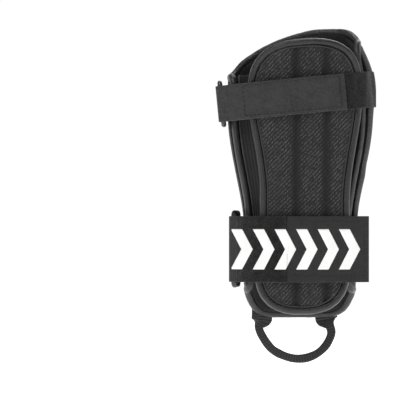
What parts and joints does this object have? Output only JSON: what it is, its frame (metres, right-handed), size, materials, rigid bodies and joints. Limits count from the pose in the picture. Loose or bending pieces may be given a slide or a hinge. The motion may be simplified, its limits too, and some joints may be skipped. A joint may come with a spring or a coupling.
{
  "type": "wrist guard",
  "caption": "Padded left-hand snowboard wrist guard: palm sleeve, splinted back panel, thumb hole, two hook-and-loop straps through rings, and a pull loop.",
  "frame": {"origin": "centre of the forearm opening, level with the hem", "axes": "+Z along the forearm towards the fingers, -Y out of the back of the hand, +Y out of the palm, +X towards the thumb"},
  "size_m": [0.1263, 0.0667, 0.2612],
  "materials": {
    "ballistic_weave": "black woven nylon with a fine twill",
    "mesh_lining": "dark ribbed stretch mesh",
    "leather_tape": "soft black synthetic leather with a low sheen",
    "splint_plastic": "stiff black sheet plastic",
    "foam": "closed-cell foam",
    "pile_loop": "black loop pile of a hook-and-loop fastener",
    "hook_tape": "black hook tape",
    "strap_webbing": "black woven strap webbing",
    "ring_plastic": "glossy moulded black plastic",
    "loop_webbing": "ribbed black webbing"
  },
  "bodies": {
    "sleeve": {"palm_shell": "ballistic_weave", "shell_lining": "mesh_lining", "palm_stays": "splint_plastic", "palm_stay_covers": "ballistic_weave", "hypothenar_pad": "ballistic_weave", "top_binding": "leather_tape", "pinky_edge_binding": "leather_tape", "thumb_edge_binding": "leather_tape", "hem_binding": "leather_tape", "thumb_hole_binding": "leather_tape", "pinky_gusset": "mesh_lining", "thumb_gusset": "mesh_lining", "back_cover": "ballistic_weave", "back_splint": "splint_plastic", "back_foam": "foam", "back_lining": "mesh_lining", "back_binding": "leather_tape", "upper_strap_band": "pile_loop", "upper_ring_keeper": "strap_webbing", "lower_strap_band": "pile_loop", "pull_loop_tabs": "loop_webbing"},
    "upper_ring": {"upper_ring": "ring_plastic"},
    "upper_tail": {"upper_strap_tail": "strap_webbing", "upper_hook_patch": "hook_tape"},
    "lower_ring": {"lower_ring": "ring_plastic"},
    "lower_tail": {"lower_strap_tail": "strap_webbing", "lower_hook_patch": "hook_tape"},
    "pull_loop": {"pull_loop": "loop_webbing"}
  },
  "joints": [
    {"name": "upper_ring_swing", "type": "hinge", "parent": "sleeve", "child": "upper_ring", "pos_m": [-0.06062, -0.0025, 0.16366], "axis": [0.0958, 0, -0.9954], "range_deg": [0, 8]},
    {"name": "upper_strap_peel", "type": "hinge", "parent": "upper_ring", "child": "upper_tail", "pos_m": [-0.06092, -0.0155, 0.16363], "axis": [0.0958, 0, -0.9954], "range_deg": [0, 140]},
    {"name": "lower_ring_swing", "type": "hinge", "parent": "sleeve", "child": "lower_ring", "pos_m": [-0.0482, -0.004, 0.0513], "axis": [0, 0, -1], "range_deg": [0, 8]},
    {"name": "lower_strap_peel", "type": "hinge", "parent": "lower_ring", "child": "lower_tail", "pos_m": [-0.0515, -0.017, 0.0513], "axis": [0, 0, -1], "range_deg": [0, 140]},
    {"name": "pull_loop_swing", "type": "hinge", "parent": "sleeve", "child": "pull_loop", "pos_m": [0, 0.0223, -0.0085], "axis": [1, 0, 0], "range_deg": [-60, 60]}
  ]
}
